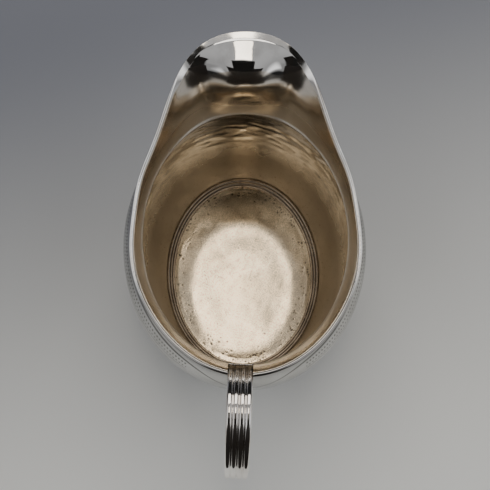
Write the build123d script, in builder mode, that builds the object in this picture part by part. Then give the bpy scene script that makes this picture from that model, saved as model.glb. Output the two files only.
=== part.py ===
"""Silver oval cream or sauce jug: flat base, reeded foot, bulging body, flared neck, lip and strap handle.

Millimetres, +Z up. The origin is the centre of the flat underside, +Y points to the pouring lip and -Y to
the handle, and X = 0 is the mirror plane of everything but the handle, which is soldered on slightly askew.
"""

import os
from math import cos, exp, hypot, radians, sin, sqrt

from build123d import *

# ---- driving dimensions ------------------------------------------------------------------------------

SHEET = 0.6  # silver sheet of the body and neck

# base plate, and the wire that frames it inside
PLATE_THICKNESS = 0.9
PLATE_RX, PLATE_RY = 26.3, 34.6
BEZEL_WIDTH = 1.0
BEZEL_HEIGHT = 0.8
BEZEL_BUTT_GAP = 0.25  # open butt joint of the wire, at the front

# foot band between the plate and the body, reeded outside and stepped inside
FOOT_WIDTH, FOOT_HEIGHT = 2.3, 3.8
FOOT_REEDS = 3
FOOT_REED_BULGE = 0.45
INNER_STEPS = 2
INNER_STEP_HOLLOW = 0.2

# body: height, half width and half length of the outside, from the foot to the shoulder seam
BODY_STATIONS = [
    (FOOT_HEIGHT, PLATE_RX + FOOT_WIDTH, PLATE_RY + FOOT_WIDTH),
    (10.0, 31.4, 39.2),
    (18.0, 34.0, 41.4),
    (27.0, 36.6, 43.6),
    (37.0, 38.4, 45.1),
    (45.0, 38.0, 44.9),
    (51.5, 35.2, 42.8),
    (55.0, 31.5, 39.5),
]
SEAM_Z, SEAM_RX, SEAM_RY = BODY_STATIONS[-1]

# top edge of the neck sheet: half width and Y, from the tip of the lip to the back
RIM_LINE = [
    (0.0, 52.7),
    (7.1, 51.8),
    (13.6, 48.5),
    (18.5, 42.8),
    (21.8, 35.7),
    (24.3, 29.0),
    (27.0, 22.4),
    (30.1, 14.6),
    (32.0, 4.5),
    (32.5, -7.0),
    (29.7, -18.6),
    (23.2, -29.6),
    (12.7, -38.7),
    (0.0, -42.2),
]
LIP_Z, LOW_Z, BACK_Z = 77.8, 61.6, 66.6  # height of that edge at the lip, where lowest and at the back
LOW_Y = -12.0  # where it is lowest
RIM_WIRE, RIM_FLAT = 1.3, 0.9  # diameter of the wire along it, and width of the flat filed to seat it
RIM_SOLDER = 0.02  # solder film between the two
SIDE_FLARE, LIP_FLARE = 1.6, 8.0  # exponents of the flare: the higher, the later it turns outwards
LIP_HALF_WIDTH = 18.0
LEAN = 0.75  # share of the flare that is a straight slant, reached on both sides of the lip
LEAN_START, LEAN_END = 13.0, 26.0  # half widths where the slant sets in and where it fades again
NECK_RISES = (0, 0.25, 0.5, 0.7, 0.85, 0.94, 1)  # where the flare is set out, as shares of its height

# handle: a reeded strap, as the middle of its backing in the handle's own plane (distance along +Y, height)
HANDLE_LINE = [
    (-40.3, 67.8),
    (-43.6, 71.5),
    (-46.5, 74.1),
    (-49.2, 75.8),
    (-51.8, 76.6),
    (-54.4, 76.8),
    (-57.8, 76.0),
    (-61.8, 73.9),
    (-65.6, 70.6),
    (-67.9, 66.0),
    (-68.1, 60.0),
    (-64.8, 50.5),
    (-59.4, 40.0),
    (-52.0, 29.5),
    (-41.5, 19.0),
]
HANDLE_ASKEW = 2.7  # degrees, its back end to the left of the lip's axis
HANDLE_REEDS = 4
HANDLE_REED_HEIGHT = 0.5
HANDLE_TOP_WIDTH, HANDLE_FOOT_WIDTH = 6.8, 5.2
HANDLE_BACKING = 1.1  # thickness of the strap under its reeds
HANDLE_SPANS = 20

# ribs of the right half, with one past the mirror plane at each end so that the halves meet smoothly
RIB_STATIONS = [
    (-RIM_LINE[1][0], RIM_LINE[1][1]),
    *RIM_LINE,
    (-RIM_LINE[-2][0], RIM_LINE[-2][1]),
]

POLISHED = (0.80, 0.79, 0.77)
DULL = (0.66, 0.62, 0.55)


# ---- curves and shapes that several pieces share -----------------------------------------------------


def rim_height(y):
    """Height of the rim line: two parabolas in the side view that meet at its lowest point."""
    if y > LOW_Y:
        end_y, end_z = RIM_LINE[0][1], LIP_Z
    else:
        end_y, end_z = RIM_LINE[-1][1], BACK_Z
    return LOW_Z + (end_z - LOW_Z) * ((y - LOW_Y) / (end_y - LOW_Y)) ** 2


def flare_exponent(x, y):
    """The lip stays upright and then turns out sharply, while the sides and back flare gently."""
    if y < 0:
        return SIDE_FLARE
    return SIDE_FLARE + (LIP_FLARE - SIDE_FLARE) * exp(-((x / LIP_HALF_WIDTH) ** 4))


def slant_share(x, y):
    """The sheet beside the lip rises in a slant, so that the crease of the lip runs straight across."""
    if y < 0:
        return 0.0
    return LEAN * (1 - exp(-((abs(x) / LEAN_START) ** 3))) * exp(-((x / LEAN_END) ** 6))


def neck_rib(x, y):
    """Points up the middle of the neck sheet below one point of the rim line, each with its outward normal.

    Both are (distance from the axis, height) in the upright plane through the axis and that point.
    """
    radius = hypot(x, y)
    middle_rx, middle_ry = SEAM_RX - SHEET / 2, SEAM_RY - SHEET / 2
    start = radius / hypot(x / middle_rx, y / middle_ry)
    reach = radius - start
    climb = rim_height(y) - SEAM_Z
    power = flare_exponent(x, y)
    lean = slant_share(x, y)
    rib = []
    for rise in NECK_RISES:
        away = reach * (lean * rise + (1 - lean) * rise**power)
        slope = reach * (lean + (1 - lean) * power * rise ** (power - 1))
        rib.append((Vector(start + away, SEAM_Z + climb * rise), Vector(climb, -slope).normalized()))
    return rib


def rib_plane(x, y):
    """Upright plane through the axis and one point of the rim line, its x outwards and its y up."""
    outwards = Vector(x, y).normalized()
    return Plane(origin=(0, 0, 0), x_dir=outwards, z_dir=outwards.cross(Vector(0, 0, 1)))


def oval_solid(stations, inset=0.0):
    """Solid with smooth sides through ovals given as (height, half width, half length)."""
    with BuildPart() as stack:
        for height, rx, ry in stations:
            with BuildSketch(Plane.XY.offset(height)):
                Ellipse(rx - inset, ry - inset)
        loft()
    return stack.part


# ---- base plate: flat oval sheet that the jug rests on -----------------------------------------------

with BuildPart() as base_plate:
    with BuildSketch(Plane.XY):
        Ellipse(PLATE_RX, PLATE_RY)
    extrude(amount=PLATE_THICKNESS)

# ---- bezel wire: frames the plate inside, with its butt joint at the front ---------------------------

with BuildPart() as bezel_wire:
    with BuildSketch(Plane.XY.offset(PLATE_THICKNESS)):
        Ellipse(PLATE_RX, PLATE_RY)
        Ellipse(PLATE_RX - BEZEL_WIDTH, PLATE_RY - BEZEL_WIDTH, mode=Mode.SUBTRACT)
    extrude(amount=BEZEL_HEIGHT)
    top_edges = bezel_wire.faces().sort_by(Axis.Z)[-1].edges()
    fillet(top_edges.sort_by(SortBy.LENGTH)[0], BEZEL_HEIGHT * 0.6)
    with Locations((0, PLATE_RY, PLATE_THICKNESS + BEZEL_HEIGHT / 2)):
        Box(BEZEL_BUTT_GAP, 4 * BEZEL_WIDTH, 2 * BEZEL_HEIGHT, mode=Mode.SUBTRACT)

# ---- foot band: drawn moulding round the plate, carrying the body ------------------------------------

step_bottom = PLATE_THICKNESS + BEZEL_HEIGHT
step_height = (FOOT_HEIGHT - step_bottom) / INNER_STEPS
step_width = (FOOT_WIDTH - SHEET) / INNER_STEPS
reed_height = FOOT_HEIGHT / FOOT_REEDS
with BuildPart() as foot_band:
    with BuildSketch(Plane.XZ.shift_origin((PLATE_RX, 0, 0))):
        with BuildLine():
            Polyline((FOOT_WIDTH, 0), (0, 0), (0, step_bottom))
            for i in range(INNER_STEPS):
                low = Vector(i * step_width, step_bottom + i * step_height)
                high = low + Vector(step_width, step_height)
                hollow = (low + high) / 2 + Vector(INNER_STEP_HOLLOW, -INNER_STEP_HOLLOW)
                ThreePointArc(low, hollow, high)
            Line((FOOT_WIDTH - SHEET, FOOT_HEIGHT), (FOOT_WIDTH, FOOT_HEIGHT))
            for i in range(FOOT_REEDS):
                low = Vector(FOOT_WIDTH, i * reed_height)
                high = low + Vector(0, reed_height)
                ThreePointArc(high, (low + high) / 2 + Vector(FOOT_REED_BULGE, 0), low)
        make_face()
    with BuildLine() as foot_path:
        EllipticalCenterArc((0, 0), PLATE_RX, PLATE_RY, 0, arc_size=360)
    sweep(path=foot_path.line)

# ---- body: bulging oval wall from the foot to the shoulder seam --------------------------------------

body_outside = oval_solid(BODY_STATIONS)
with BuildPart() as body_wall:
    add(body_outside)
    add(oval_solid(BODY_STATIONS, inset=SHEET), mode=Mode.SUBTRACT)

# ---- neck: flared sheet with the pouring lip, set out on ribs round its right half and mirrored ------

with BuildPart() as neck:
    for x, y in RIB_STATIONS:
        rib = neck_rib(x, y)
        with BuildSketch(rib_plane(x, y)):
            with BuildLine():
                inside = Spline(*[middle - normal * (SHEET / 2) for middle, normal in rib])
                outside = Spline(*[middle + normal * (SHEET / 2) for middle, normal in rib])
                Line(inside @ 0, outside @ 0)
                Line(inside @ 1, outside @ 1)
            make_face()
    loft()
    split(bisect_by=Plane.YZ, keep=Keep.TOP)
    mirror(about=Plane.YZ)

# ---- rim wire: round wire with a flat filed along it, soldered on the top edge of the neck -----------

with BuildPart() as rim_wire:
    for x, y in RIB_STATIONS:
        middle, normal = neck_rib(x, y)[-1]
        onwards = Vector(-normal.Y, normal.X)
        seat = middle + onwards * RIM_SOLDER
        crown = seat + onwards * (RIM_WIRE + sqrt(RIM_WIRE**2 - RIM_FLAT**2)) / 2
        with BuildSketch(rib_plane(x, y)):
            with BuildLine():
                flat = Line(seat - normal * (RIM_FLAT / 2), seat + normal * (RIM_FLAT / 2))
                ThreePointArc(flat @ 0, crown, flat @ 1)
            make_face()
    loft()
    split(bisect_by=Plane.YZ, keep=Keep.TOP)
    mirror(about=Plane.YZ)

# ---- handle: strap with rounded reeds outside, notched over the rim and trimmed to the body ----------

along = Vector(sin(radians(HANDLE_ASKEW)), cos(radians(HANDLE_ASKEW)), 0)
handle_plane = Plane(origin=(0, 0, 0), x_dir=along, z_dir=along.cross(Vector(0, 0, 1)))
with BuildPart() as handle:
    with BuildLine(handle_plane) as handle_path:
        Spline(*HANDLE_LINE)
    for i in range(HANDLE_SPANS + 1):
        share = i / HANDLE_SPANS
        width = HANDLE_TOP_WIDTH + (HANDLE_FOOT_WIDTH - HANDLE_TOP_WIDTH) * share
        pitch = width / HANDLE_REEDS
        edge, face = width / 2, HANDLE_BACKING / 2
        station = Plane(
            origin=handle_path.line @ share,
            x_dir=handle_plane.z_dir,
            z_dir=handle_path.line % share,
        )
        with BuildSketch(station):
            with BuildLine():
                Polyline((-edge, face), (-edge, -face), (edge, -face), (edge, face))
                for reed in range(HANDLE_REEDS):
                    left = Vector(-edge + reed * pitch, face)
                    crest = left + Vector(pitch / 2, HANDLE_REED_HEIGHT)
                    ThreePointArc(left, crest, left + Vector(pitch, 0))
            make_face()
    loft()
    add(neck.part, mode=Mode.SUBTRACT)
    add(rim_wire.part, mode=Mode.SUBTRACT)
    add(body_outside, mode=Mode.SUBTRACT)

# ---- write the pieces --------------------------------------------------------------------------------

os.makedirs("parts", exist_ok=True)
pieces = [
    (base_plate, "base_plate", DULL),
    (bezel_wire, "bezel_wire", DULL),
    (foot_band, "foot_band", DULL),
    (body_wall, "body_wall", POLISHED),
    (neck, "neck", POLISHED),
    (rim_wire, "rim_wire", POLISHED),
    (handle, "handle", POLISHED),
]
for piece, name, colour in pieces:
    piece.part.label = name
    piece.part.color = Color(*colour)
    export_step(piece.part, f"parts/{name}.step")
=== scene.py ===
"""Looks of the oval silver jug: one smooth, detailed mesh for each CAD piece, in the same frame.

Lengths are set in millimetres, as in the CAD part, and turned into metres where a mesh is made. +Y points
to the pouring lip and -Y to the handle.
"""

from math import cos, pi, radians, sin, sqrt

import bpy
import numpy as np
from mathutils import Matrix, Vector


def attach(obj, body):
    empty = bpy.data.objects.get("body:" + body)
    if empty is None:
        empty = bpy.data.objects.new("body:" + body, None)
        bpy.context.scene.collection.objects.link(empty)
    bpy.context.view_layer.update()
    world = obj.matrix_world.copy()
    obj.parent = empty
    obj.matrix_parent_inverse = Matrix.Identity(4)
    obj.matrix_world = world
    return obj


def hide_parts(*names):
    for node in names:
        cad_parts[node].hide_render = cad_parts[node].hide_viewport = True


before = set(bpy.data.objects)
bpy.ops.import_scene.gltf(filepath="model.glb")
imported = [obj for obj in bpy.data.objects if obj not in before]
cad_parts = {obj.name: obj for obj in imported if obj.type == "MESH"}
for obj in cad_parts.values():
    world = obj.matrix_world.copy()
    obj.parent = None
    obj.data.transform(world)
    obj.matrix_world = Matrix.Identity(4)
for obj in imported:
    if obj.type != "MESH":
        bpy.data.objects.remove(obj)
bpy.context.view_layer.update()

MM = 0.001

# ---- dimensions of the CAD part ----------------------------------------------------------------------

SHEET = 0.6
PLATE_THICKNESS = 0.9
PLATE_RX, PLATE_RY = 26.3, 34.6
BEZEL_WIDTH, BEZEL_HEIGHT = 1.0, 0.8
BEZEL_BUTT_GAP = 0.25
FOOT_WIDTH, FOOT_HEIGHT = 2.3, 3.8
FOOT_REEDS, FOOT_REED_BULGE = 3, 0.45
INNER_STEPS, INNER_STEP_HOLLOW = 2, 0.2
BODY_STATIONS = [
    (FOOT_HEIGHT, PLATE_RX + FOOT_WIDTH, PLATE_RY + FOOT_WIDTH),
    (10.0, 31.4, 39.2),
    (18.0, 34.0, 41.4),
    (27.0, 36.6, 43.6),
    (37.0, 38.4, 45.1),
    (45.0, 38.0, 44.9),
    (51.5, 35.2, 42.8),
    (55.0, 31.5, 39.5),
]
SEAM_Z, SEAM_RX, SEAM_RY = BODY_STATIONS[-1]
RIM_LINE = [
    (0.0, 52.7),
    (7.1, 51.8),
    (13.6, 48.5),
    (18.5, 42.8),
    (21.8, 35.7),
    (24.3, 29.0),
    (27.0, 22.4),
    (30.1, 14.6),
    (32.0, 4.5),
    (32.5, -7.0),
    (29.7, -18.6),
    (23.2, -29.6),
    (12.7, -38.7),
    (0.0, -42.2),
]
LIP_Z, LOW_Z, BACK_Z = 77.8, 61.6, 66.6
LOW_Y = -12.0
RIM_WIRE, RIM_FLAT, RIM_SOLDER = 1.3, 0.9, 0.02
SIDE_FLARE, LIP_FLARE, LIP_HALF_WIDTH = 1.6, 8.0, 18.0
LEAN = 0.75
LEAN_START, LEAN_END = 13.0, 26.0
HANDLE_LINE = [
    (-40.3, 67.8),
    (-43.6, 71.5),
    (-46.5, 74.1),
    (-49.2, 75.8),
    (-51.8, 76.6),
    (-54.4, 76.8),
    (-57.8, 76.0),
    (-61.8, 73.9),
    (-65.6, 70.6),
    (-67.9, 66.0),
    (-68.1, 60.0),
    (-64.8, 50.5),
    (-59.4, 40.0),
    (-52.0, 29.5),
    (-41.5, 19.0),
]
HANDLE_ASKEW = radians(2.7)
HANDLE_REEDS, HANDLE_REED_HEIGHT = 4, 0.5
HANDLE_TOP_WIDTH, HANDLE_FOOT_WIDTH, HANDLE_BACKING = 6.8, 5.2, 1.1

# ---- detail that the CAD part leaves out -------------------------------------------------------------

PLANISH = 0.02  # unevenness of hammered and polished sheet
STREAK_SHAPE = np.array([0.42, 0.42, 1.5])  # hammering inside is drawn out along the wall

# body
HAMMER_DEPTH = 0.05
HAMMER_START, HAMMER_FULL = 20.0, 34.0  # heights between which the hammering inside sets in
HAMMER_BACK, HAMMER_FRONT_Y = 0.25, 30.0  # its share at the back, and where it is full in front
END_FADE = 2.0  # the unevenness dies out this far from the foot and from the seam
NEAR_SEAM = 53.0  # over this height the inside has closer rows, for the groove
SEAM_GROOVE, SEAM_GROOVE_Z, SEAM_GROOVE_WIDTH = 0.34, 54.2, 0.4  # hollow under the shoulder seam inside
# painted shade and dirt inside: a dark line in the groove under the seam, and another in the corner over
# the foot
SEAM_DARK_Z, SEAM_DARK_WIDTH = 54.15, 0.28
SEAM_DARK_LOSS, SEAM_DARK_LOSS_FROM, SEAM_DARK_LOSS_TO = 0.5, 15.0, 35.0  # share of it gone towards the lip
FOOT_DARK_Z, FOOT_DARK_WIDTH = 4.1, 0.25

# engraved band
BAND_LOW, BAND_HIGH = 40.6, 53.0  # heights between which the shoulder is engraved
BAND_DEPTH, BAND_LAP = 0.16, 0.05  # how far the skin goes into the wall, and how much more its back does
BAND_FADE = 0.4  # the cuts die out this far from the edges of the skin
LINE_DEPTH, LINE_WIDTH = 0.07, 0.22
LINE_HEIGHT, LINE_DIP, LINE_DIP_ANGLE = 51.7, 5.8, 0.30  # the line dips under the handle
DOT_PITCH, DOT_RADIUS, DOT_DEPTH = 1.2, 0.38, 0.10
DOT_HEIGHTS = (50.3, 48.8)
SCALLOP_PITCH, SCALLOP_DEPTH, SCALLOP_HEIGHT = 1.0, 0.06, 46.6
SCALLOP_RISE, SCALLOP_WIDTH = 0.9, 0.22  # height of each arc, and softness of its line
PLAIN_HALF_WIDTH = 18.0  # the dots and scallops stop this far from the handle on each side
CUT_FULL_OF_DIRT = 0.045  # a cut this deep is dark all over

# neck
NECK_STREAKS = 0.03
NECK_STREAKS_END = 0.80  # share of the neck's rise where the streaks end
NECK_STREAKS_FULL_Y = 25.0  # distance ahead from which they are full
SEAM_BEAD, SEAM_BEAD_ABOVE, SEAM_BEAD_WIDTH = 0.36, 0.75, 0.45  # solder bead over the seam inside

# rim wire
WIRE_PROUD = 0.25  # the wire stands out on the outside, so that it is flush inside
WIRE_POINTS = 48
WIRE_SKIRT = 1.1  # the solder along it reaches this many radii further over the sheet at the lip
WIRE_FLAT = 0.88  # share of its radius that it keeps on the inside, where it is rubbed down flush
WIRE_LOSS, WIRE_WEAR = 0.02, 0.015  # shares of its radius lost all round and unevenly
WIRE_LIP_START, WIRE_LIP_FULL = 34.0, 42.0  # distances ahead between which it becomes flush

# foot and plate
STEP_DARK_REACH = 0.22  # how far the painted shade and dirt reach from the corners of the steps
PLATE_EDGE_DROP, PLATE_SINK = 0.10, 0.12  # how far the top lies under the CAD plate, at its edge and inside
PLATE_EDGE_FADE = 0.08  # share of the radius over which the edge falls to the inside
PLATE_WAVES = (0.020, 10.0), (0.003, 3.5)  # height and length of its unevenness
PLATE_DISH = 0.0003  # the plate is dished across, inside a soft egg-shaped ridge
PLATE_RIDGE = (19.0, 24.0, 5.0)  # half width, half length and how far it lies back
PLATE_RIDGE_HEIGHT, PLATE_RIDGE_SOFTNESS = 0.10, 0.16
PLATE_PITS, PIT_DEPTH, PIT_RADII = 320, 0.018, (0.18, 0.38)
PIT_SPREAD = 0.09  # how far from the edge the pits lie, as a share of the radius

# handle
REED_CROWN = 3.5  # how flat the reeds are on top: 2 is a plain arc
LAP = 1.6  # length over which the strap is rounded off where it laps the rim
BACK_NARROWER = 0.985
HANDLE_FOOT_BELOW = 40.0  # under this height the strap is kept out of the body


# ---- curves ------------------------------------------------------------------------------------------


def faded(value, start, full):
    """0 at start and 1 at full, straight between them and held beyond."""
    return np.clip((value - start) / (full - start), 0, 1)


def bell(value, middle, width):
    """1 at middle, falling softly to 0 on both sides."""
    return np.exp(-(((value - middle) / width) ** 2))


def spline(knots, values, at, periodic=False):
    """Cubic spline through values (n, k) at knots: natural at its ends, or closed if periodic."""
    knots, values, at = (np.asarray(a, float) for a in (knots, values, at))
    n = len(knots)
    h = np.diff(knots)
    system = np.eye(n)
    right = np.zeros_like(values)
    slope = np.diff(values, axis=0) / h[:, None]
    for i in range(1, n - 1):
        system[i, i - 1 : i + 2] = h[i - 1], 2 * (h[i - 1] + h[i]), h[i]
        right[i] = 6 * (slope[i] - slope[i - 1])
    if periodic:
        system[0, :] = 0
        system[0, 0], system[0, -1] = 1, -1
        system[-1, :] = 0
        system[-1, 0], system[-1, 1] = 2 * h[0], h[0]
        system[-1, -2], system[-1, -1] = h[-1], 2 * h[-1]
        right[-1] = 6 * (slope[0] - slope[-1])
    second = np.linalg.solve(system, right)
    i = np.clip(np.searchsorted(knots, at) - 1, 0, n - 2)
    a = ((knots[i + 1] - at) / h[i])[:, None]
    b = 1 - a
    bend = (a**3 - a) * second[i] + (b**3 - b) * second[i + 1]
    return a * values[i] + b * values[i + 1] + bend * (h[i] ** 2)[:, None] / 6


def chord_knots(points):
    """Running length along straight lines between points."""
    steps = np.linalg.norm(np.diff(points, axis=0), axis=1)
    return np.concatenate([[0], np.cumsum(steps)])


def ripples(points, wavelength, seed, waves=9):
    """Smooth unevenness between about -1 and 1, the same wherever two pieces share a point."""
    chance = np.random.default_rng(seed)
    total = np.zeros(points.shape[:-1])
    for _ in range(waves):
        way = chance.normal(size=3)
        way *= 2 * pi / (wavelength * chance.uniform(0.7, 1.6) * np.linalg.norm(way))
        total += np.sin(points @ way + chance.uniform(0, 2 * pi))
    return total / sqrt(waves)


# ---- meshes ------------------------------------------------------------------------------------------


def mesh_piece(name, points, faces, cad_node, materials, face_material=None):
    """Piece of the jug with smooth shading, riding on the only body and standing for its CAD node."""
    mesh = bpy.data.meshes.new(name)
    mesh.from_pydata((np.asarray(points).reshape(-1, 3) * MM).tolist(), [], faces)
    for material in materials:
        mesh.materials.append(material)
    if face_material is not None:
        mesh.polygons.foreach_set("material_index", np.asarray(face_material, np.int32))
    mesh.polygons.foreach_set("use_smooth", np.ones(len(mesh.polygons), bool))
    mesh.update()
    piece = bpy.data.objects.new(name, mesh)
    bpy.context.scene.collection.objects.link(piece)
    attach(piece, "root")
    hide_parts(cad_node)
    return piece


def mark(piece, darkness):
    """Stores how far each point is darkened by dirt and painted shade, for the finish to read."""
    attribute = piece.data.attributes.new("dirt_and_shade", "FLOAT", "POINT")
    attribute.data.foreach_set("value", np.asarray(darkness, np.float32).ravel())


def wrapped(rows, columns, close_rows=True, close_columns=True):
    """Quads over a grid of rows by columns, closed round either way, and the row each quad starts in."""
    r = np.arange(rows if close_rows else rows - 1)
    c = np.arange(columns if close_columns else columns - 1)
    r, c = (a.ravel() for a in np.meshgrid(r, c, indexing="ij"))
    r2, c2 = (r + 1) % rows, (c + 1) % columns
    quads = np.stack([r * columns + c, r * columns + c2, r2 * columns + c2, r2 * columns + c], axis=1)
    return quads.tolist(), r


def end_caps(rows, columns):
    """The two faces that close a grid of rows by columns at its first and last column."""
    first = [i * columns for i in range(rows)]
    return first, [i + columns - 1 for i in first]


# ---- body --------------------------------------------------------------------------------------------

body_heights = np.array([station[0] for station in BODY_STATIONS])
body_radii = np.array([station[1:] for station in BODY_STATIONS])


def body_oval(heights, angles, inset=0.0):
    """Points (heights, angles, 3) on the body's wall, inset from its outside."""
    radii = spline(body_heights, body_radii, heights) - np.broadcast_to(inset, heights.shape)[:, None]
    x = radii[:, :1] * np.sin(angles)
    y = radii[:, 1:] * np.cos(angles)
    return np.stack([x, y, np.broadcast_to(heights[:, None], x.shape)], axis=-1)


def body_outwards(heights, angles):
    """Outward normals of the body."""
    step = 0.01
    here = body_oval(heights, angles)
    up = body_oval(heights + step, angles) - here
    onwards = body_oval(heights, angles + step) - here
    normal = np.cross(onwards, up)
    normal /= np.linalg.norm(normal, axis=-1, keepdims=True)
    flip = np.sign((normal[..., :2] * here[..., :2]).sum(-1))[..., None]
    return normal * flip


def planished(points, normals):
    """Points moved along their normals by the unevenness of hammered sheet."""
    rise = PLANISH * ripples(points, 11.0, 3) + PLANISH * 0.5 * ripples(points, 5.0, 4)
    return points + normals * rise[..., None]


BODY_COLUMNS = 480
body_angles = np.arange(BODY_COLUMNS) * 2 * pi / BODY_COLUMNS


def body_outside():
    """The wall's outside from the foot up, let back where the engraved skin lies."""
    below = np.append(np.linspace(FOOT_HEIGHT, BAND_LOW - 0.03, 43), BAND_LOW)
    under_skin = np.linspace(BAND_LOW + 0.02, BAND_HIGH - 0.02, 12)
    above = np.append(BAND_HIGH, np.linspace(BAND_HIGH + 0.03, SEAM_Z, 9))
    inset = np.concatenate([0 * below, 0 * under_skin + BAND_DEPTH, 0 * above])
    return body_oval(np.concatenate([below, under_skin, above]), body_angles, inset)


def body_inside():
    """The wall's inside from the seam down: hammered in streaks, and grooved under the seam."""
    lower = np.linspace(NEAR_SEAM - 0.5, FOOT_HEIGHT, 98)
    heights = np.concatenate([np.linspace(SEAM_Z, NEAR_SEAM, 16), lower])
    points = body_oval(heights, body_angles, SHEET)
    normals = body_outwards(heights, body_angles)
    drawn = points * STREAK_SHAPE
    streaks = ripples(drawn, 4.2, 12) + 0.5 * ripples(drawn, 1.9, 13)
    dents = streaks * (HAMMER_DEPTH * faded(heights, HAMMER_START, HAMMER_FULL))[:, None]
    dents *= HAMMER_BACK + (1 - HAMMER_BACK) * faded(points[..., 1], 0, HAMMER_FRONT_Y)
    ends = faded(heights, FOOT_HEIGHT, FOOT_HEIGHT + END_FADE) * faded(heights, SEAM_Z, SEAM_Z - END_FADE)
    rougher_up = np.clip((heights - 8) / 14, 0.6, 1.9)
    points = planished(points, normals * (ends * rougher_up)[:, None, None])
    groove = SEAM_GROOVE * bell(heights, SEAM_GROOVE_Z, SEAM_GROOVE_WIDTH)
    return points + normals * (groove[:, None] + dents * ends[:, None])[..., None]


def build_body(inside, outside):
    """The wall as one closed shell."""
    outer, inner = body_outside(), body_inside()
    points = np.concatenate([outer, inner])
    quads, row = wrapped(len(points), BODY_COLUMNS)
    indoors = (row >= len(outer) - 1) & (row < len(points) - 1)
    body = mesh_piece("body_shell", points, quads, "body_wall", [outside, inside], indoors)
    # painted shade and dirt: darker along the groove under the seam, less so towards the lip, and in the
    # corner over the foot
    left = 1 - SEAM_DARK_LOSS * faded(points[..., 1], SEAM_DARK_LOSS_FROM, SEAM_DARK_LOSS_TO)
    dirt_and_shade = left * bell(points[..., 2], SEAM_DARK_Z, SEAM_DARK_WIDTH)
    dirt_and_shade += bell(points[..., 2], FOOT_DARK_Z, FOOT_DARK_WIDTH)
    dirt_and_shade[: len(outer)] = 0
    mark(body, np.clip(dirt_and_shade, 0, 1))


BAND_COLUMNS = 1440


def build_band(outside):
    """The engraved skin of the shoulder: a fine line, two rows of dots and a row of scallops."""
    angles = np.arange(BAND_COLUMNS) * 2 * pi / BAND_COLUMNS
    heights = np.linspace(BAND_LOW + 0.03, BAND_HIGH - 0.03, 68)
    heights = np.concatenate([[BAND_LOW], heights, [BAND_HIGH]])
    points = body_oval(heights, angles)
    hoop = points[len(heights) // 2]
    length = chord_knots(hoop)
    perimeter = length[-1] + np.linalg.norm(hoop[0] - hoop[-1])
    near_handle = (hoop[:, 1] < 0) & (np.abs(hoop[:, 0]) < PLAIN_HALF_WIDTH)
    patterned = np.where(near_handle, 0.0, 1.0)
    z = heights[:, None]

    def dots(middle, shift):
        pitch = perimeter / round(perimeter / DOT_PITCH)
        along = (length + shift * pitch) % pitch - pitch / 2
        far = np.sqrt(along**2 + (z - middle) ** 2)
        return DOT_DEPTH * np.clip(1 - (far / DOT_RADIUS) ** 2, 0, 1) * patterned

    def scallops():
        pitch = perimeter / round(perimeter / (2 * SCALLOP_PITCH))
        along = (length % pitch) / pitch - 0.5
        arc = SCALLOP_HEIGHT + SCALLOP_RISE * np.sqrt(np.clip(1 - (2 * along) ** 2, 0, 1))
        return SCALLOP_DEPTH * bell(z, arc, SCALLOP_WIDTH) * patterned

    line = LINE_DEPTH * bell(z, LINE_HEIGHT - LINE_DIP * bell(angles, pi, LINE_DIP_ANGLE), LINE_WIDTH)
    cut = np.max([line, dots(DOT_HEIGHTS[0], 0.0), dots(DOT_HEIGHTS[1], 0.5), scallops()], axis=0)
    cut *= faded(z, BAND_LOW, BAND_LOW + BAND_FADE) * faded(z, BAND_HIGH, BAND_HIGH - BAND_FADE)
    outer = points - body_outwards(heights, angles) * cut[..., None]
    back = body_oval(heights[::-23], angles, BAND_DEPTH + BAND_LAP)
    points = np.concatenate([outer, back])
    quads, _ = wrapped(len(points), BAND_COLUMNS)
    band = mesh_piece("body_engraved_band", points, quads, "body_wall", [outside])
    mark(band, np.concatenate([np.clip(cut / CUT_FULL_OF_DIRT, 0, 1), 0 * back[..., 0]]))


# ---- neck and rim wire -------------------------------------------------------------------------------


def rim_height(y):
    """Height of the rim line: two parabolas in the side view that meet at its lowest point."""
    ahead = y > LOW_Y
    end_y = np.where(ahead, RIM_LINE[0][1], RIM_LINE[-1][1])
    end_z = np.where(ahead, LIP_Z, BACK_Z)
    return LOW_Z + (end_z - LOW_Z) * ((y - LOW_Y) / (end_y - LOW_Y)) ** 2


def neck_sheet(rim_xy, rises):
    """Middle points of the neck sheet (rises, rim, 3) and their outward normals."""
    x, y = rim_xy[:, 0], rim_xy[:, 1]
    radius = np.hypot(x, y)
    start = radius / np.hypot(x / (SEAM_RX - SHEET / 2), y / (SEAM_RY - SHEET / 2))
    reach = radius - start
    climb = rim_height(y) - SEAM_Z
    lip = SIDE_FLARE + (LIP_FLARE - SIDE_FLARE) * np.exp(-((x / LIP_HALF_WIDTH) ** 4))
    power = np.where(y < 0, SIDE_FLARE, lip)
    lean = LEAN * (1 - np.exp(-(np.abs(x / LEAN_START) ** 3))) * np.exp(-((x / LEAN_END) ** 6))
    lean = np.where(y < 0, 0, lean)
    rise = np.asarray(rises)[:, None]
    away = start + reach * (lean * rise + (1 - lean) * rise**power)
    height = SEAM_Z + climb * rise
    normal_away = climb + 0 * rise
    normal_up = -reach * (lean + (1 - lean) * power * np.maximum(rise, 1e-6) ** (power - 1))
    size = np.hypot(normal_away, normal_up)
    normal_away, normal_up = normal_away / size, normal_up / size
    out_x, out_y = x / radius, y / radius
    points = np.stack([away * out_x, away * out_y, height], axis=-1)
    normals = np.stack([normal_away * out_x, normal_away * out_y, normal_up], axis=-1)
    return points, normals


RIM_COLUMNS = 720
half = np.array(RIM_LINE)
whole = np.concatenate([half, (half * [-1, 1])[-2:0:-1], half[:1]])
rim_knots = chord_knots(whole)
rim_xy = spline(rim_knots, whole, np.arange(RIM_COLUMNS) * rim_knots[-1] / RIM_COLUMNS, periodic=True)


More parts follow.
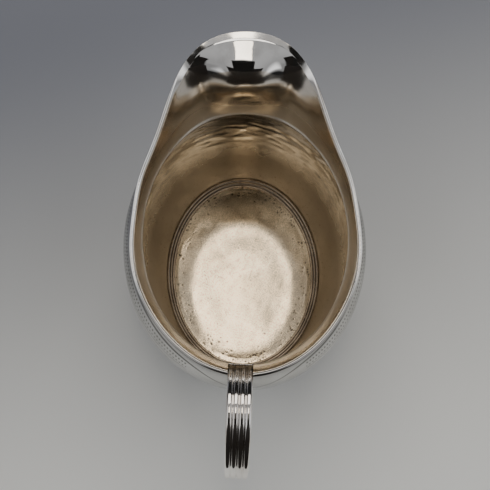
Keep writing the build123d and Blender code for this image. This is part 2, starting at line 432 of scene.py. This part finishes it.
def build_neck(inside, outside):
    """The flared sheet with the lip, closed over its seam and its top edge."""
    rises = np.concatenate([np.linspace(0, 0.14, 18), np.linspace(0.155, 1, 52)])
    middle, normals = neck_sheet(rim_xy, rises)
    share = rises[:, None, None]
    ends = faded(share, 0, 0.1) * faded(share, 1, 0.92)
    outer = planished(middle + normals * SHEET / 2, normals * ends)
    inner = planished(middle - normals * SHEET / 2, normals * ends * 1.8)
    low_front = faded(share, NECK_STREAKS_END, NECK_STREAKS_END - 0.15)
    low_front = low_front * faded(inner[..., 1:2], 0, NECK_STREAKS_FULL_Y) * ends
    streaks = NECK_STREAKS * ripples(inner * STREAK_SHAPE, 6.0, 14)[..., None]
    inner = inner - normals * low_front * streaks
    bead = SEAM_BEAD * bell(inner[..., 2:], SEAM_Z + SEAM_BEAD_ABOVE, SEAM_BEAD_WIDTH)
    inner = inner - normals * bead
    points = np.concatenate([outer, inner[::-1]])
    quads, row = wrapped(len(points), RIM_COLUMNS)
    indoors = (row >= len(rises) - 1) & (row < len(points) - 1)
    mesh_piece("neck_sheet", points, quads, "neck", [outside, inside], indoors)


def build_rim(material):
    """The round wire along the top edge, a little worn and uneven, and rubbed down flush at the lip."""
    middle, normals = neck_sheet(rim_xy, [1.0])
    middle, normals = middle[0], normals[0]
    path = np.roll(middle, -1, axis=0) - np.roll(middle, 1, axis=0)
    path /= np.linalg.norm(path, axis=1, keepdims=True)
    onwards = np.cross(normals, path)
    onwards /= np.linalg.norm(onwards, axis=1, keepdims=True)
    onwards *= np.sign(onwards[:, 2:] + 1e-9)
    onto_edge = RIM_SOLDER + sqrt(RIM_WIRE**2 - RIM_FLAT**2) / 2
    centre = middle + onwards * onto_edge + normals * WIRE_PROUD
    turn = np.arange(WIRE_POINTS)[:, None, None] * 2 * pi / WIRE_POINTS
    radius = RIM_WIRE / 2 * (1 - WIRE_LOSS + WIRE_WEAR * ripples(centre, 9.0, 8))[None, :, None]
    aside, along = np.cos(turn), np.sin(turn)
    at_lip = faded(centre[:, 1:2], WIRE_LIP_START, WIRE_LIP_FULL)
    rubbed = -WIRE_FLAT * np.clip(3 * np.abs(aside), 0, 1)
    flattened = np.where(aside < 0, aside + at_lip * (rubbed - aside), aside)
    skirted = along * np.where((aside < 0) & (along < 0), 1 + WIRE_SKIRT * at_lip, 1)
    points = centre + radius * (normals * flattened + onwards * skirted)
    quads, _ = wrapped(WIRE_POINTS, RIM_COLUMNS)
    mesh_piece("rim_round_wire", points, quads, "rim_wire", [material])


# ---- foot, bezel and plate ---------------------------------------------------------------------------

PLATE_COLUMNS = 480
plate_angles = np.arange(PLATE_COLUMNS) * 2 * pi / PLATE_COLUMNS


def bowed(low, through, high, count):
    """Points on the parabola from low through the middle point to high, without the last."""
    low, through, high = (np.array(p, float) for p in (low, through, high))
    t = np.linspace(0, 1, count, endpoint=False)[:, None]
    sag = through - (low + high) / 2
    return low + (high - low) * t + sag * 4 * t * (1 - t)


def along_plate_edge(section, angles):
    """Points (section, angles, 3) of a section swept round the plate: its x outwards and its y up."""
    x, y = PLATE_RX * np.sin(angles), PLATE_RY * np.cos(angles)
    nx, ny = np.sin(angles) / PLATE_RX, np.cos(angles) / PLATE_RY
    size = np.hypot(nx, ny)
    out = section[:, :1]
    px, py = x + out * nx / size, y + out * ny / size
    return np.stack([px, py, np.broadcast_to(section[:, 1:], px.shape)], axis=-1)


def build_foot(material, clean):
    """The drawn moulding: rounded reeds outside and hollow steps inside."""
    bottom = PLATE_THICKNESS + BEZEL_HEIGHT
    step = np.array([FOOT_WIDTH - SHEET, FOOT_HEIGHT - bottom]) / INNER_STEPS
    reed = FOOT_HEIGHT / FOOT_REEDS
    corners = [np.array([0, bottom]) + i * step for i in range(INNER_STEPS + 1)]
    parts = [np.linspace((0.0, 0.0), (0.0, bottom), 6, endpoint=False)]
    for low, high in zip(corners, corners[1:]):
        hollow = (low + high) / 2 + [INNER_STEP_HOLLOW, -INNER_STEP_HOLLOW]
        parts.append(bowed(low, hollow, high, 24))
    parts.append(np.linspace(corners[-1], (FOOT_WIDTH, FOOT_HEIGHT), 3, endpoint=False))
    for i in reversed(range(FOOT_REEDS)):
        high = np.array([FOOT_WIDTH, (i + 1) * reed])
        low = high - [0, reed]
        parts.append(bowed(high, (low + high) / 2 + [FOOT_REED_BULGE, 0], low, 9))
    parts.append(np.linspace((FOOT_WIDTH, 0.0), (0.0, 0.0), 5, endpoint=False))
    section = np.concatenate(parts)
    quads, row = wrapped(len(section), PLATE_COLUMNS)
    points = along_plate_edge(section, plate_angles)
    outside = section[row, 0] > FOOT_WIDTH - 0.01
    finishes = [material, clean]
    foot = mesh_piece("foot_moulding", points, quads, "foot_band", finishes, outside)
    # painted shade and dirt: darker towards the corners of the hollow steps
    from_corner = np.min([np.hypot(*(section - corner).T) for corner in corners], axis=0)
    mark(foot, np.repeat(faded(from_corner, STEP_DARK_REACH, 0), PLATE_COLUMNS))


def build_bezel(material):
    """The wire round the plate inside, open at its butt joint."""
    top = PLATE_THICKNESS + BEZEL_HEIGHT
    turn = np.linspace(0, pi / 2, 8)
    soft = BEZEL_HEIGHT * 0.6
    edge = np.stack([-BEZEL_WIDTH + soft - soft * np.cos(turn), top - soft + soft * np.sin(turn)], axis=1)
    section = np.concatenate([[(0, PLATE_THICKNESS), (-BEZEL_WIDTH, PLATE_THICKNESS)], edge, [(0, top)]])
    gap = BEZEL_BUTT_GAP / 2 / PLATE_RX
    angles = np.linspace(gap, 2 * pi - gap, PLATE_COLUMNS)
    quads, _ = wrapped(len(section), PLATE_COLUMNS, close_columns=False)
    first, last = end_caps(len(section), PLATE_COLUMNS)
    faces = quads + [first, last[::-1]]
    points = along_plate_edge(section, angles)
    mesh_piece("bezel_ring", points, faces, "bezel_wire", [material])


def plate_top(x, y, shares):
    """Heights of the plate's dished, ridged and pitted top, and how deep in a pit each point is."""
    flat = np.stack([x, y, 0 * x], axis=-1)
    rise = sum(height * ripples(flat, length, 21 + i) for i, (height, length) in enumerate(PLATE_WAVES))
    egg = np.hypot(x / PLATE_RIDGE[0], (y + PLATE_RIDGE[2]) / PLATE_RIDGE[1])
    rise += PLATE_DISH * x**2 + PLATE_RIDGE_HEIGHT * bell(egg, 1, PLATE_RIDGE_SOFTNESS)
    chance = np.random.default_rng(5)
    pitted = 0 * x
    for _ in range(PLATE_PITS):
        share = 1 - abs(chance.normal(0, PIT_SPREAD))
        angle = chance.uniform(0, 2 * pi)
        px, py = PLATE_RX * share * sin(angle), PLATE_RY * share * cos(angle)
        pit = np.exp(-((x - px) ** 2 + (y - py) ** 2) / chance.uniform(*PIT_RADII) ** 2)
        rise -= PIT_DEPTH * pit
        pitted = np.maximum(pitted, pit)
    inside = faded(shares, 1, 1 - PLATE_EDGE_FADE)
    return PLATE_THICKNESS - PLATE_EDGE_DROP + (rise - PLATE_SINK) * inside, pitted


def build_plate(material):
    """The plate: planished and pitted above, and flat beneath, with one point in the middle of each."""
    shares = np.linspace(1, 0, 150, endpoint=False)[:, None]
    x = PLATE_RX * shares * np.sin(plate_angles)
    y = PLATE_RY * shares * np.cos(plate_angles)
    height, pitted = plate_top(x, y, shares)
    above = np.stack([x, y, height], axis=-1)
    flat = above * [1, 1, 0]
    beneath = np.concatenate([flat[::-10], flat[:1]])
    middles = [[0, 0, float(height[-1].mean())], [0, 0, 0]]
    points = np.concatenate([above.reshape(-1, 3), beneath.reshape(-1, 3), middles])
    quads, _ = wrapped(len(above), PLATE_COLUMNS, close_rows=False)
    low_quads, _ = wrapped(len(beneath), PLATE_COLUMNS, close_rows=False)
    offset = above.shape[0] * PLATE_COLUMNS
    faces = quads + [[i + offset for i in quad] for quad in low_quads]
    inner, rim_low = offset - PLATE_COLUMNS, len(points) - 2 - PLATE_COLUMNS
    for c in range(PLATE_COLUMNS):
        d = (c + 1) % PLATE_COLUMNS
        faces.append([inner + c, inner + d, len(points) - 2])
        faces.append([offset + d, offset + c, len(points) - 1])
        faces.append([rim_low + c, rim_low + d, d, c])
    plate = mesh_piece("plate_disc", points, faces, "base_plate", [material])
    mark(plate, np.concatenate([pitted.ravel(), np.zeros(len(points) - pitted.size)]))


# ---- handle ------------------------------------------------------------------------------------------


def build_handle(material):
    """The strap: flat behind, four rounded reeds outside, rounded off where it laps the rim."""
    stations, reed_points, back_points = 260, 11, 9
    line = np.array(HANDLE_LINE)
    knots = chord_knots(line)
    at = np.linspace(0, knots[-1], stations)
    flat = spline(knots, line, at)
    ahead = np.array([sin(HANDLE_ASKEW), cos(HANDLE_ASKEW), 0])
    up = np.array([0, 0, 1.0])
    across = np.cross(ahead, up)
    centre = flat[:, :1] * ahead + flat[:, 1:] * up
    path = np.gradient(centre, axis=0)
    path /= np.linalg.norm(path, axis=1, keepdims=True)
    outwards = np.cross(path, across)
    width = HANDLE_TOP_WIDTH + (HANDLE_FOOT_WIDTH - HANDLE_TOP_WIDTH) * at / knots[-1]
    reed_height = HANDLE_REED_HEIGHT * np.sqrt(np.clip(at / LAP, 0.05, 1))

    def row(share, out):
        return centre + across * (width * share)[:, None] + outwards * np.reshape(out, (-1, 1))

    rows = []
    for reed in range(HANDLE_REEDS):
        for t in np.linspace(0, 1, reed_points, endpoint=False):
            crown = 1 - abs(2 * t - 1) ** REED_CROWN
            rows.append(row((reed + t) / HANDLE_REEDS - 0.5, HANDLE_BACKING / 2 + reed_height * crown))
    rows.append(row(0.5, HANDLE_BACKING / 2))
    for share in np.linspace(0.5, -0.5, back_points):
        rows.append(row(share * BACK_NARROWER, -HANDLE_BACKING / 2))
    points = np.array(rows)
    heights = np.clip(points[..., 2], FOOT_HEIGHT, SEAM_Z)
    radii = spline(body_heights, body_radii, heights.ravel()).reshape(*heights.shape, 2) - SHEET / 2
    far = np.linalg.norm(points[..., :2] / radii, axis=-1)
    in_body = (points[..., 2] < HANDLE_FOOT_BELOW) & (far < 1)
    points[..., :2] *= np.where(in_body, 1 / np.maximum(far, 0.5), 1)[..., None]
    quads, _ = wrapped(len(rows), stations, close_columns=False)
    first, last = end_caps(len(rows), stations)
    faces = quads + [first[::-1], last]
    mesh_piece("handle_strap", points, faces, "handle", [material])


# ---- shader nodes ------------------------------------------------------------------------------------


class Graph:
    """Shader nodes joined up, each method giving the output of a new node."""

    def __init__(self, tree):
        self.nodes, self.links = tree.nodes, tree.links

    def put(self, socket, value):
        """Sets a socket to a number, a colour or another node's output."""
        if isinstance(value, bpy.types.NodeSocket):
            self.links.new(value, socket)
        elif isinstance(value, tuple):
            socket.default_value = (*value, 1)
        else:
            socket.default_value = value

    def coordinate(self, kind):
        return self.nodes.new("ShaderNodeTexCoord").outputs[kind]

    def axis(self, vector, name):
        """X, Y or Z of a vector."""
        apart = self.nodes.new("ShaderNodeSeparateXYZ")
        self.put(apart.inputs[0], vector)
        return apart.outputs[name]

    def range(self, value, low, high, to_low=0.0, to_high=1.0, smooth=False):
        """value from low..high to to_low..to_high, held at the ends."""
        node = self.nodes.new("ShaderNodeMapRange")
        node.interpolation_type = "SMOOTHSTEP" if smooth else "LINEAR"
        numbers = {"From Min": low, "From Max": high, "To Min": to_low, "To Max": to_high}
        for key, number in numbers.items():
            node.inputs[key].default_value = number
        self.put(node.inputs["Value"], value)
        return node.outputs["Result"]

    def math(self, operation, *values):
        """A value worked out from others, each a number or another value."""
        node = self.nodes.new("ShaderNodeMath")
        node.operation = operation
        for socket, value in zip(node.inputs, values):
            self.put(socket, value)
        return node.outputs[0]

    def times(self, *values):
        """Product of two or more values."""
        product = values[0]
        for value in values[1:]:
            product = self.math("MULTIPLY", product, value)
        return product

    def mix(self, share, low, high):
        """Colour between two, each a colour or another mix."""
        node = self.nodes.new("ShaderNodeMix")
        node.data_type = "RGBA"
        self.put(node.inputs["Factor"], share)
        self.put(node.inputs[6], low)
        self.put(node.inputs[7], high)
        return node.outputs[2]


class Finish(Graph):
    """Material whose tarnish, polish and fine scratches vary over the object's own coordinates."""

    def __init__(self, name, metallic=1.0):
        self.material = bpy.data.materials.new(name)
        self.material.use_nodes = True
        super().__init__(self.material.node_tree)
        self.shader = self.nodes["Principled BSDF"]
        self.shader.inputs["Metallic"].default_value = metallic
        self.place = self.coordinate("Object")

    def noise(self, per_mm, detail=3.0, stretch=(1, 1, 1)):
        """Noise with about per_mm bumps in a millimetre."""
        scaled = self.nodes.new("ShaderNodeMapping")
        scaled.inputs["Scale"].default_value = [s / MM * per_mm for s in stretch]
        self.put(scaled.inputs["Vector"], self.place)
        noise = self.nodes.new("ShaderNodeTexNoise")
        noise.inputs["Scale"].default_value = 1.0
        noise.inputs["Detail"].default_value = detail
        self.put(noise.inputs["Vector"], scaled.outputs["Vector"])
        return noise.outputs["Fac"]

    def across(self, name, low, high, to_low=0.0, to_high=1.0):
        """to_low..to_high between two places on the object's X, Y or Z, in millimetres."""
        return self.range(self.axis(self.place, name), low * MM, high * MM, to_low, to_high)

    def dirt_and_shade(self, low, high, most):
        """Share of dirt and painted shade stored with the mesh, 0 at low and most at high."""
        stored = self.nodes.new("ShaderNodeAttribute")
        stored.attribute_name = "dirt_and_shade"
        return self.range(stored.outputs["Fac"], low, high, 0, most)

    def colour(self, value):
        self.put(self.shader.inputs["Base Color"], value)

    def roughness(self, value):
        self.put(self.shader.inputs["Roughness"], value)

    def bump(self, value, depth_mm, strength, onto=None):
        """Fine relief, one layer on another."""
        node = self.nodes.new("ShaderNodeBump")
        node.inputs["Strength"].default_value = strength
        node.inputs["Distance"].default_value = depth_mm * MM
        self.put(node.inputs["Height"], value)
        if onto is not None:
            self.put(node.inputs["Normal"], onto)
        self.put(self.shader.inputs["Normal"], node.outputs["Normal"])
        return node.outputs["Normal"]


# ---- finishes ----------------------------------------------------------------------------------------

CUT_DIRT = (0.10, 0.095, 0.09)
# dark tone of the dirt in the pits, and of the painted shade in the corners of the wall and the foot
PIT_DIRT_AND_SHADE = (0.05, 0.04, 0.03)
SPECK = (0.06, 0.04, 0.025)
# colour of the painted dark reflection on the back half of the rim wire
PAINTED_DARK_REFLECTION_TONE = (0.36, 0.345, 0.33)
# wall tones: painted shade with tarnish low down, and a painted pale sheen near the seam
WALL_LOW_SHADE_AND_TARNISH, WALL_PAINTED_SHEEN = (0.31, 0.26, 0.195), (0.96, 0.92, 0.82)


def clean_silver(name, colour, dull, rough, dirty=False, painted_dark_behind=False):
    """Polished silver with light smears and hairline scratches, dirt in its cuts if dirty, and a painted
    dark reflection towards the handle if asked.
    """
    f = Finish(name)
    smear = f.range(f.noise(0.12, 4), 0.40, 0.68)
    base = f.mix(smear, colour, dull)
    if dirty:
        base = f.mix(f.dirt_and_shade(0.2, 0.9, 0.8), base, CUT_DIRT)
    if painted_dark_behind:
        # painted dark reflection: towards the handle the wire is tinted darker, standing in for the dark
        # surroundings it reflects there
        base = f.mix(f.across("Y", -22, -14, 1, 0), base, PAINTED_DARK_REFLECTION_TONE)
    f.colour(base)
    f.roughness(f.range(f.noise(0.3, 5), 0.3, 0.7, *rough))
    broad = f.bump(f.noise(0.10, 1), 0.03, 0.25)
    f.bump(f.noise(1.2, 3, (1, 6, 6)), 0.0012, 0.35, broad)
    return f.material


def tarnished_silver(name, light, dark, stain, rough, pits=0.5, wave=0.16, grain_share=0.25, wall=False):
    """Uncleaned silver: warm tarnish in clouds, darker spots, specks, and dirt with painted shade in
    corners and creases.

    The body's wall is also duller near the foot, with painted shade and tarnish there and more specks, and
    rougher near the seam, with a painted pale sheen.
    """
    f = Finish(name)
    base = f.mix(f.range(f.noise(0.07, 5), 0.36, 0.64), light, dark)
    base = f.mix(f.range(f.noise(0.55, 3), 0.60, 0.74, 0, 0.6), base, stain)
    base = f.mix(f.range(f.noise(3.2, 2), 0.42, 0.66, 0, grain_share), base, stain)
    speckle = f.noise(1.5, 2)
    if wall:
        speckle = f.math("ADD", speckle, f.across("Z", 5, 15, 0.07, 0))
    base = f.mix(f.range(speckle, 0.70, 0.76, 0, 0.85), base, SPECK)
    # dirt and painted shade stored with the mesh darken the wall's seam groove and foot corner, the foot's
    # steps and the plate's pits
    base = f.mix(f.dirt_and_shade(0.25, 0.7, 0.9), base, PIT_DIRT_AND_SHADE)
    roughness = f.range(f.noise(0.25, 5), 0.3, 0.7, *rough)
    if wall:
        # painted shade with tarnish low on the wall, and a painted pale sheen high up, standing in for the
        # bright plate that the shoulder reflects
        low, high = f.across("Z", 17, 27, 1, 0), f.across("Z", 42, 50)
        base = f.mix(f.times(low, 0.75), base, WALL_LOW_SHADE_AND_TARNISH)
        base = f.mix(f.times(high, 0.7), base, WALL_PAINTED_SHEEN)
        roughness = f.math("ADD", roughness, f.times(low, 0.16))
        roughness = f.math("ADD", roughness, f.times(high, 0.34))
    f.colour(base)
    f.roughness(roughness)
    wavy = f.bump(f.noise(0.16, 2), wave, 0.35)
    fine = f.bump(f.noise(2.2, 4), 0.008, 0.6, wavy)
    f.bump(f.range(speckle, 0.68, 0.76, 1, 0), 0.03, pits, fine)
    return f.material


def neck_silver():
    """Inside of the neck: golden tarnish low down, with a painted pale reflection and a painted shade line
    at the crease, polished bright where the lip turns out.
    """
    f = Finish("silver_neck_inside")
    golden = f.mix(f.range(f.noise(0.08, 5), 0.36, 0.64), (0.94, 0.875, 0.785), (0.75, 0.67, 0.565))
    # painted reflection: pale cream low on the neck, standing in for the bright plate it reflects
    low = f.across("Z", 57, 65, 1, 0)
    golden = f.mix(f.times(low, 0.7), golden, (0.98, 0.92, 0.82))
    # painted shade: a dark line at the crease under the seam bead
    golden = f.mix(f.across("Z", 55.5, 56.1, 0.85, 0), golden, (0.22, 0.18, 0.13))
    ragged = f.math("MULTIPLY_ADD", f.noise(0.22, 4), 2.2 * MM, f.axis(f.place, "Y"))
    aside = f.axis(f.place, "X")
    bowed_line = f.math("MULTIPLY_ADD", f.times(aside, aside), -0.004 / MM, ragged)
    polished = f.range(bowed_line, 43.9 * MM, 44.3 * MM)
    bright = f.mix(f.range(f.noise(0.15, 4), 0.45, 0.66), (0.90, 0.88, 0.85), (0.72, 0.70, 0.67))
    f.colour(f.mix(polished, golden, bright))
    f.roughness(f.math("ADD", f.range(polished, 0, 1, 0.18, 0.04), f.times(low, 0.22)))
    f.bump(f.noise(1.4, 3), 0.003, 0.35, f.bump(f.noise(0.16, 2), 0.08, 0.3))
    return f.material


BODY_TONES = (0.60, 0.597, 0.59), (0.48, 0.475, 0.46)
exterior = clean_silver("silver_exterior", *BODY_TONES, (0.13, 0.22))
engraved = clean_silver("silver_engraved", *BODY_TONES, (0.13, 0.22), dirty=True)
# the rim gets the painted dark reflection towards the handle
rim_finish = clean_silver(
    "silver_rim", (0.97, 0.955, 0.93), (0.80, 0.75, 0.69), (0.06, 0.14), painted_dark_behind=True
)
handle_finish = clean_silver("silver_handle", (0.98, 0.965, 0.945), (0.72, 0.67, 0.62), (0.07, 0.14))
wall_inside = tarnished_silver(
    "silver_wall_inside",
    light=(0.91, 0.865, 0.785),
    dark=(0.78, 0.73, 0.64),
    stain=(0.46, 0.395, 0.31),
    rough=(0.12, 0.21),
    wall=True,
)
foot_finish = tarnished_silver(
    "silver_foot",
    light=(0.44, 0.36, 0.27),
    dark=(0.24, 0.19, 0.14),
    stain=(0.10, 0.07, 0.05),
    rough=(0.18, 0.30),
)
plate_finish = tarnished_silver(
    "silver_plate",
    light=(0.89, 0.735, 0.53),
    dark=(0.73, 0.59, 0.41),
    stain=(0.40, 0.32, 0.23),
    rough=(0.12, 0.18),
    pits=0.9,
    wave=0.05,
    grain_share=0.75,
)

build_plate(plate_finish)
build_bezel(foot_finish)
build_foot(foot_finish, exterior)
build_body(wall_inside, exterior)
build_band(engraved)
build_neck(neck_silver(), exterior)
build_rim(rim_finish)
build_handle(handle_finish)


# ---- floor, lights and dark cards --------------------------------------------------------------------

FLOOR_HALF = 1.6
FLOOR_PAINTED_LIT, FLOOR_PAINTED_SHADE = (0.97, 0.965, 0.92), (0.195, 0.203, 0.235)
FLOOR_FADE = (-0.12, 0.13)  # metres towards the lip between which the floor darkens
FLOOR_SLANT = -0.26  # how far that fade lies askew


def floor_paint():
    """Matt pale paint with the light's falloff painted in: cooler and darker away from the light."""
    f = Finish("floor_paint", metallic=0.0)
    askew = f.math("MULTIPLY_ADD", f.axis(f.place, "X"), FLOOR_SLANT, f.axis(f.place, "Y"))
    # painted light falloff: the floor is painted darker away from the light
    f.colour(f.mix(f.range(askew, *FLOOR_FADE, smooth=True), FLOOR_PAINTED_LIT, FLOOR_PAINTED_SHADE))
    f.roughness(0.85)
    return f.material


def card_paint(name, colour):
    """Plain matt paint of one colour."""
    f = Finish(name, metallic=0.0)
    f.colour(colour)
    f.roughness(0.9)
    return f.material


def card(name, width, depth, paint):
    """Flat rectangle of the studio, not a part of the jug."""
    w, d = width / 2, depth / 2
    mesh = bpy.data.meshes.new(name)
    mesh.from_pydata([(-w, -d, 0), (w, -d, 0), (w, d, 0), (-w, d, 0)], [], [(0, 1, 2, 3)])
    mesh.materials.append(paint)
    flat = bpy.data.objects.new(name, mesh)
    bpy.context.scene.collection.objects.link(flat)
    return flat


def flag(name, width, depth, place, colour, upright=False):
    """Dark card over the jug, there only for what the silver reflects."""
    dark = card(name, width, depth, card_paint(name + "_paint", colour))
    dark.location = place
    dark.rotation_euler = (pi / 2 if upright else 0, 0, 0)
    dark.visible_camera = False
    dark.visible_shadow = False
    dark.visible_diffuse = False


def panel(name, width, depth, place, aim, colour, watts):
    """Soft rectangular light facing a point."""
    lamp = bpy.data.lights.new(name, "AREA")
    lamp.shape = "RECTANGLE"
    lamp.size, lamp.size_y = width, depth
    lamp.color = colour
    lamp.energy = watts
    light = bpy.data.objects.new(name, lamp)
    light.location = place
    light.rotation_euler = (Vector(aim) - Vector(place)).to_track_quat("-Z", "Y").to_euler()
    bpy.context.scene.collection.objects.link(light)


card("floor", 2 * FLOOR_HALF, 2 * FLOOR_HALF, floor_paint())
panel("overhead", 0.060, 0.20, (0.0, 0.045, 0.50), (0, 0.045, 0.0), (1.0, 0.91, 0.76), 0.135)
panel("ahead", 0.52, 0.30, (0.0, 0.42, 0.52), (0, 0.0, 0.05), (1.0, 0.97, 0.92), 1.35)
flag("flag_behind_camera", 0.060, 0.16, (-0.004, -0.085, 0.27), (0.010, 0.009, 0.008))
flag("flag_of_arms", 0.17, 0.29, (0.0, -0.203, 0.272), (0.014, 0.010, 0.008))
flag("flag_behind_handle", 0.17, 0.15, (0.0, -0.10, 0.139), (0.014, 0.010, 0.008), upright=True)

# ---- surround: a soft glow by the direction it comes from, X aside, Y ahead and Z up -----------------

SIDE_GLOW, TOP_GLOW, SHOULDER_GLOW, BESIDE_GLOW, BEHIND_GLOW = 0.34, 0.44, 0.25, 1.10, 1.15
NEAR_DARK, FAR_DARK = 0.018, 0.010

world = bpy.data.worlds.new("studio")
bpy.context.scene.world = world
world.use_nodes = True
surround = Graph(world.node_tree)
direction = surround.coordinate("Generated")


def ramped(name, low, high, to_low=0.0, to_high=1.0):
    """Smooth step along one axis of the direction that light comes from."""
    return surround.range(surround.axis(direction, name), low, high, to_low, to_high, smooth=True)


def between(name, low, high, soft):
    """1 inside low..high along an axis, falling to 0 within soft."""
    return surround.times(ramped(name, low - soft, low), ramped(name, high, high + soft, 1.0, 0.0))


def outside(name, half_width, soft):
    """0 inside a half width along an axis, rising to 1 within soft."""
    return surround.math("SUBTRACT", 1.0, between(name, -half_width, half_width, soft))


def masked(value, inside, *masks):
    """value, turning to inside where all the masks are 1."""
    mask = surround.times(*masks)
    kept = surround.times(value, surround.math("SUBTRACT", 1.0, mask))
    return surround.math("ADD", kept, surround.times(mask, inside))


glow = surround.math("ADD", SIDE_GLOW, ramped("Z", 0.80, 0.95, 0.0, TOP_GLOW - SIDE_GLOW))
glow = masked(glow, SHOULDER_GLOW, between("Y", -0.80, -0.15, 0.10), between("Z", 0.42, 0.68, 0.08))
aside = surround.math("SUBTRACT", between("X", -0.80, 0.80, 0.08), between("X", -0.42, 0.42, 0.12))
glow = masked(glow, BEHIND_GLOW, between("Y", -0.74, -0.12, 0.08), ramped("Z", 0.50, 0.60), aside)
glow = masked(
    glow, BESIDE_GLOW, outside("X", 0.52, 0.10), between("Y", -0.30, 0.35, 0.10), ramped("Z", 0.30, 0.40)
)
glow = masked(
    glow,
    NEAR_DARK,
    between("X", -0.62, 0.62, 0.10),
    between("Z", 0.12, 0.42, 0.08),
    ramped("Y", -0.35, -0.25, 1.0, 0.0),
)
glow = masked(
    glow,
    NEAR_DARK,
    between("X", -0.26, 0.26, 0.08),
    between("Y", -0.92, -0.56, 0.05),
    ramped("Z", 0.10, 0.20),
)
glow = masked(
    glow, FAR_DARK, between("X", -0.80, 0.80, 0.10), ramped("Y", 0.45, 0.60), ramped("Z", 0.0, 0.04)
)
background = surround.nodes["Background"]
surround.put(background.inputs["Strength"], glow)
surround.put(background.inputs["Color"], (0.97, 0.98, 1.0))

# ---- camera ------------------------------------------------------------------------------------------

TILT, ROLL, YAW = 0.257, 0.066, -0.072  # from straight down, in radians
CAMERA_PLACE = (-3.997, -56.382, 256.95)
SENSOR_WIDTH, FOCAL_LENGTH = 36.0, 360 / 7

right = Vector((cos(YAW), sin(YAW), 0))
up = Vector((-sin(YAW) * cos(TILT), cos(YAW) * cos(TILT), sin(TILT)))
ahead = Vector((-sin(YAW) * sin(TILT), cos(YAW) * sin(TILT), -cos(TILT)))
rolled_right = right * cos(ROLL) + up * sin(ROLL)
rolled_up = up * cos(ROLL) - right * sin(ROLL)
axes = Matrix((rolled_right, rolled_up, -ahead)).transposed().to_4x4()
camera_data = bpy.data.cameras.new("camera")
camera_data.sensor_width = SENSOR_WIDTH
camera_data.lens = FOCAL_LENGTH
camera_data.clip_start = 0.005
camera = bpy.data.objects.new("camera", camera_data)
camera.matrix_world = Matrix.Translation(Vector(CAMERA_PLACE) * MM) @ axes
bpy.context.scene.collection.objects.link(camera)
bpy.context.scene.camera = camera
